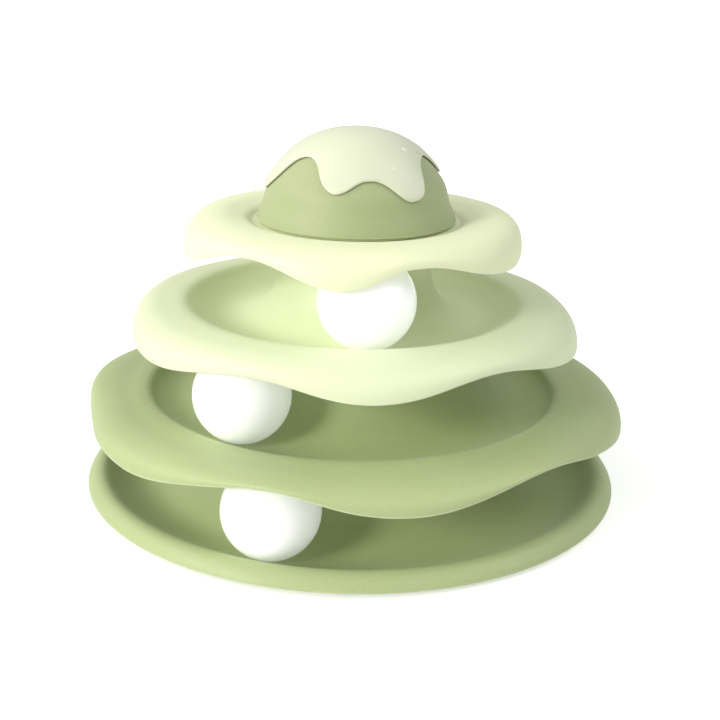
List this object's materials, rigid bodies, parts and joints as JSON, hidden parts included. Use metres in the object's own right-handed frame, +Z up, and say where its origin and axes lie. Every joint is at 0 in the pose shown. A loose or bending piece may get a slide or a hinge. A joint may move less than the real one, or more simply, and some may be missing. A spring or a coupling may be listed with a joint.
{
  "type": "cat_ball_track_tower",
  "caption": "Stacked cat play tower: a round base and wavy-edged trays form ball tracks for hollow rolling balls, topped by a dome with a poured-icing cover",
  "frame": {"origin": "on the surface the tower stands on, at the centre of the base (centre of the bounding box bottom)", "axes": "+Z up along the tower's axis and the shortest extent; the front, as usually seen, faces -Y; +X to the right of it"},
  "size_m": [0.2519, 0.25, 0.1673],
  "materials": {
    "sage_plastic": "satin matte, sage green",
    "lime_plastic": "satin matte, pale lime",
    "cream_plastic": "satin matte, cream green",
    "dome_plastic": "satin, sage green",
    "icing_plastic": "satin, pale cream green",
    "ball_white": "smooth, white",
    "bead_plastic": "smooth, pale grey",
    "pad_rubber": "matte, dark green grey"
  },
  "bodies": {
    "base": {"base_tray": "sage_plastic", "foot_pad_1": "pad_rubber", "foot_pad_2": "pad_rubber", "foot_pad_3": "pad_rubber", "foot_pad_4": "pad_rubber", "foot_pad_5": "pad_rubber", "foot_pad_6": "pad_rubber"},
    "lower": {"lower_tier": "sage_plastic"},
    "middle": {"middle_tier": "lime_plastic"},
    "upper": {"upper_tier": "cream_plastic"},
    "dome": {"dome_cap": "dome_plastic", "icing_cover": "icing_plastic"},
    "ball_1_centre": {"ball_1_bell": "bead_plastic"},
    "ball_1": {"ball_1_shell_a": "ball_white", "ball_1_shell_b": "ball_white"},
    "ball_2_centre": {"ball_2_bell": "bead_plastic"},
    "ball_2": {"ball_2_shell_a": "ball_white", "ball_2_shell_b": "ball_white"},
    "ball_3_centre": {"ball_3_bell": "bead_plastic"},
    "ball_3": {"ball_3_shell_a": "ball_white", "ball_3_shell_b": "ball_white"}
  },
  "joints": [
    {"name": "lower_tier_lift", "type": "slide", "parent": "base", "child": "lower", "axis": [0, 0, 1], "range_m": [0, 0.05]},
    {"name": "middle_tier_lift", "type": "slide", "parent": "lower", "child": "middle", "axis": [0, 0, 1], "range_m": [0, 0.05]},
    {"name": "upper_tier_lift", "type": "slide", "parent": "middle", "child": "upper", "axis": [0, 0, 1], "range_m": [0, 0.05]},
    {"name": "dome_lift", "type": "slide", "parent": "upper", "child": "dome", "axis": [0, 0, 1], "range_m": [0, 0.04]},
    {"name": "ball_1_orbit", "type": "hinge", "parent": "base", "child": "ball_1_centre", "pos_m": [0, 0, 0.0228], "axis": [0, 0, 1], "continuous": true},
    {"name": "ball_1_roll", "type": "hinge", "parent": "ball_1_centre", "child": "ball_1", "pos_m": [-0.03191, -0.09266, 0.0228], "axis": [-0.3256, -0.9455, 0], "continuous": true},
    {"name": "ball_2_orbit", "type": "hinge", "parent": "lower", "child": "ball_2_centre", "pos_m": [0, 0, 0.0631], "axis": [0, 0, 1], "continuous": true},
    {"name": "ball_2_roll", "type": "hinge", "parent": "ball_2_centre", "child": "ball_2", "pos_m": [-0.04612, -0.06537, 0.0631], "axis": [-0.5764, -0.8171, 0], "continuous": true},
    {"name": "ball_3_orbit", "type": "hinge", "parent": "middle", "child": "ball_3_centre", "pos_m": [0, 0, 0.1026], "axis": [0, 0, 1], "continuous": true},
    {"name": "ball_3_roll", "type": "hinge", "parent": "ball_3_centre", "child": "ball_3", "pos_m": [0.00556, -0.05673, 0.1026], "axis": [0.0976, -0.9952, 0], "continuous": true}
  ],
  "couplings": [
    {"joint": "ball_1_roll", "follows": "ball_1_orbit", "ratio": -4.6667},
    {"joint": "ball_2_roll", "follows": "ball_2_orbit", "ratio": -3.8095},
    {"joint": "ball_3_roll", "follows": "ball_3_orbit", "ratio": -2.7143}
  ]
}
